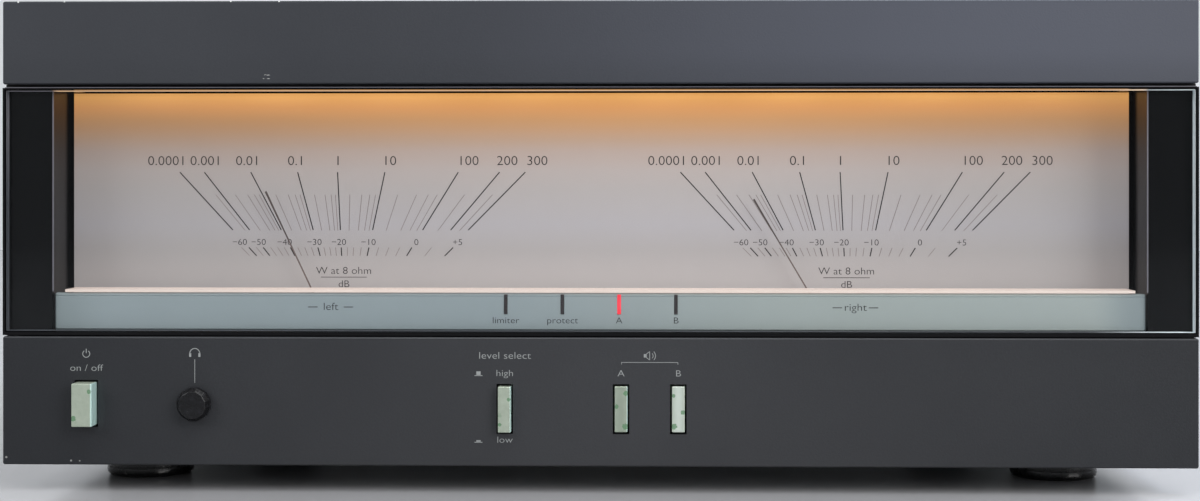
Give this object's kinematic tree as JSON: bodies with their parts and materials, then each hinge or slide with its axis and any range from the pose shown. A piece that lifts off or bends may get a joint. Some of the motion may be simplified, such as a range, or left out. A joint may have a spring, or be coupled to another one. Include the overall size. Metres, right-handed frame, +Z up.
{
  "type": "stereo power amplifier",
  "caption": "Full-width hi-fi power amplifier with two needle power meters on one lit dial behind glass, push buttons below, and terminals at the rear.",
  "frame": {"origin": "under the middle of the whole amplifier, on the surface that it stands on", "axes": "+X to the right as seen from the front, +Y from the front panels to the rear, +Z up"},
  "size_m": [0.45, 0.408, 0.1854],
  "materials": {
    "fascia_paint": "satin slate grey enamel on aluminium, fine texture, small chips at the edges",
    "window_glass": "clear float glass with ground edges",
    "frame_plastic": "glossy black moulding",
    "dial_card": "matt pinkish grey card with black printed scales",
    "shelf_white": "pale satin strip",
    "sage_metal": "satin grey-green metal bar with dark print",
    "red_lens": "red diffusing lens, lit",
    "dark_lens": "dark grey diffusing lens, unlit",
    "board_green": "glass-epoxy circuit board with solder mask",
    "lamp_amber": "white lamp channel with warm lamps",
    "switch_plastic": "black moulded plastic",
    "pointer_grey": "dark lacquered aluminium",
    "champagne_metal": "pale champagne anodising, green tarnish specks",
    "cap_plastic": "black glossy moulding with facets",
    "black_steel": "black fine-texture enamel on sheet steel",
    "zinc_steel": "zinc-plated sheet steel",
    "foot_plastic": "glossy black moulding",
    "core_iron": "varnished iron laminations",
    "copper_winding": "taped copper winding",
    "can_sleeve": "blue shrink sleeve",
    "black_aluminium": "black anodised extrusion",
    "nickel": "nickel plate",
    "terminal_plastic": "black moulded terminal plastic",
    "red_plastic": "red moulded plastic",
    "black_cap_plastic": "black moulded plastic",
    "loom_sleeve": "black sleeving over wires"
  },
  "bodies": {
    "chassis": {"bottom_pan": "zinc_steel", "capacitor_clamp": "zinc_steel", "dial_plate": "dial_card", "dial_shelf": "shelf_white", "front_capacitor": "can_sleeve", "front_left_foot": "foot_plastic", "front_right_foot": "foot_plastic", "front_subchassis": "black_steel", "indicator_board": "board_green", "input_sockets": "nickel", "lamp_strip": "lamp_amber", "left_amplifier_board": "board_green", "left_heatsink": "black_aluminium", "left_meter_movement": "switch_plastic", "left_output_devices": "switch_plastic", "legend_bar": "sage_metal", "limit_lens": "dark_lens", "lower_fascia": "fascia_paint", "mains_inlet": "terminal_plastic", "meter_frame": "frame_plastic", "phones_jack": "switch_plastic", "power_switch": "switch_plastic", "protection_lens": "dark_lens", "rear_capacitor": "can_sleeve", "rear_left_foot": "foot_plastic", "rear_panel": "black_steel", "rear_right_foot": "foot_plastic", "right_amplifier_board": "board_green", "right_heatsink": "black_aluminium", "right_meter_movement": "switch_plastic", "right_output_devices": "switch_plastic", "speaker_a_lens": "red_lens", "speaker_b_lens": "dark_lens", "speaker_relay": "switch_plastic", "speaker_terminal_block": "terminal_plastic", "supply_board": "board_green", "switch_board": "board_green", "top_cover": "black_steel", "top_fascia": "fascia_paint", "transformer_bracket": "zinc_steel", "transformer_core": "core_iron", "transformer_winding": "copper_winding", "window_glass": "window_glass", "wiring_loom": "loom_sleeve"},
    "left_pointer": {"left_pointer": "pointer_grey"},
    "right_pointer": {"right_pointer": "pointer_grey"},
    "power_button": {"power_button": "champagne_metal"},
    "output_button": {"output_button": "champagne_metal"},
    "speaker_a_button": {"speaker_a_button": "champagne_metal"},
    "speaker_b_button": {"speaker_b_button": "champagne_metal"},
    "phones_cap": {"phones_cap": "cap_plastic"},
    "fuse_drawer": {"fuse_drawer": "terminal_plastic"},
    "right_a_negative_cap": {"right_a_negative_cap": "black_cap_plastic"},
    "right_a_positive_cap": {"right_a_positive_cap": "red_plastic"},
    "right_b_negative_cap": {"right_b_negative_cap": "black_cap_plastic"},
    "right_b_positive_cap": {"right_b_positive_cap": "red_plastic"},
    "left_a_negative_cap": {"left_a_negative_cap": "black_cap_plastic"},
    "left_a_positive_cap": {"left_a_positive_cap": "red_plastic"},
    "left_b_negative_cap": {"left_b_negative_cap": "black_cap_plastic"},
    "left_b_positive_cap": {"left_b_positive_cap": "red_plastic"}
  },
  "joints": [
    {"name": "left_pointer_swing", "type": "hinge", "parent": "chassis", "child": "left_pointer", "pos_m": [-0.0984, -0.1766, 0.0499], "axis": [0, 1, 0], "range_deg": [-19, 73], "stiffness_Nm_per_rad": 0.0002, "springref_deg": -19},
    {"name": "right_pointer_swing", "type": "hinge", "parent": "chassis", "child": "right_pointer", "pos_m": [0.0984, -0.1766, 0.0499], "axis": [0, 1, 0], "range_deg": [-13.5, 78.5], "stiffness_Nm_per_rad": 0.0002, "springref_deg": -13.5},
    {"name": "power_button_push", "type": "slide", "parent": "chassis", "child": "power_button", "axis": [0, 1, 0], "range_m": [-0.0035, 0]},
    {"name": "output_button_push", "type": "slide", "parent": "chassis", "child": "output_button", "axis": [0, 1, 0], "range_m": [0, 0.0035]},
    {"name": "speaker_a_button_push", "type": "slide", "parent": "chassis", "child": "speaker_a_button", "axis": [0, 1, 0], "range_m": [-0.003, 0]},
    {"name": "speaker_b_button_push", "type": "slide", "parent": "chassis", "child": "speaker_b_button", "axis": [0, 1, 0], "range_m": [-0.003, 0]},
    {"name": "phones_cap_pull", "type": "slide", "parent": "chassis", "child": "phones_cap", "axis": [0, -1, 0], "range_m": [0, 0.012]},
    {"name": "fuse_drawer_pull", "type": "slide", "parent": "chassis", "child": "fuse_drawer", "axis": [0, 1, 0], "range_m": [0, 0.018]},
    {"name": "right_a_negative_cap_turn", "type": "hinge", "parent": "chassis", "child": "right_a_negative_cap", "pos_m": [0.0945, 0.189, 0.063], "axis": [0, 1, 0], "range_deg": [0, 720]},
    {"name": "right_a_positive_cap_turn", "type": "hinge", "parent": "chassis", "child": "right_a_positive_cap", "pos_m": [0.1205, 0.189, 0.063], "axis": [0, 1, 0], "range_deg": [0, 720]},
    {"name": "right_b_negative_cap_turn", "type": "hinge", "parent": "chassis", "child": "right_b_negative_cap", "pos_m": [0.1465, 0.189, 0.063], "axis": [0, 1, 0], "range_deg": [0, 720]},
    {"name": "right_b_positive_cap_turn", "type": "hinge", "parent": "chassis", "child": "right_b_positive_cap", "pos_m": [0.1725, 0.189, 0.063], "axis": [0, 1, 0], "range_deg": [0, 720]},
    {"name": "left_a_negative_cap_turn", "type": "hinge", "parent": "chassis", "child": "left_a_negative_cap", "pos_m": [0.0945, 0.189, 0.089], "axis": [0, 1, 0], "range_deg": [0, 720]},
    {"name": "left_a_positive_cap_turn", "type": "hinge", "parent": "chassis", "child": "left_a_positive_cap", "pos_m": [0.1205, 0.189, 0.089], "axis": [0, 1, 0], "range_deg": [0, 720]},
    {"name": "left_b_negative_cap_turn", "type": "hinge", "parent": "chassis", "child": "left_b_negative_cap", "pos_m": [0.1465, 0.189, 0.089], "axis": [0, 1, 0], "range_deg": [0, 720]},
    {"name": "left_b_positive_cap_turn", "type": "hinge", "parent": "chassis", "child": "left_b_positive_cap", "pos_m": [0.1725, 0.189, 0.089], "axis": [0, 1, 0], "range_deg": [0, 720]}
  ]
}
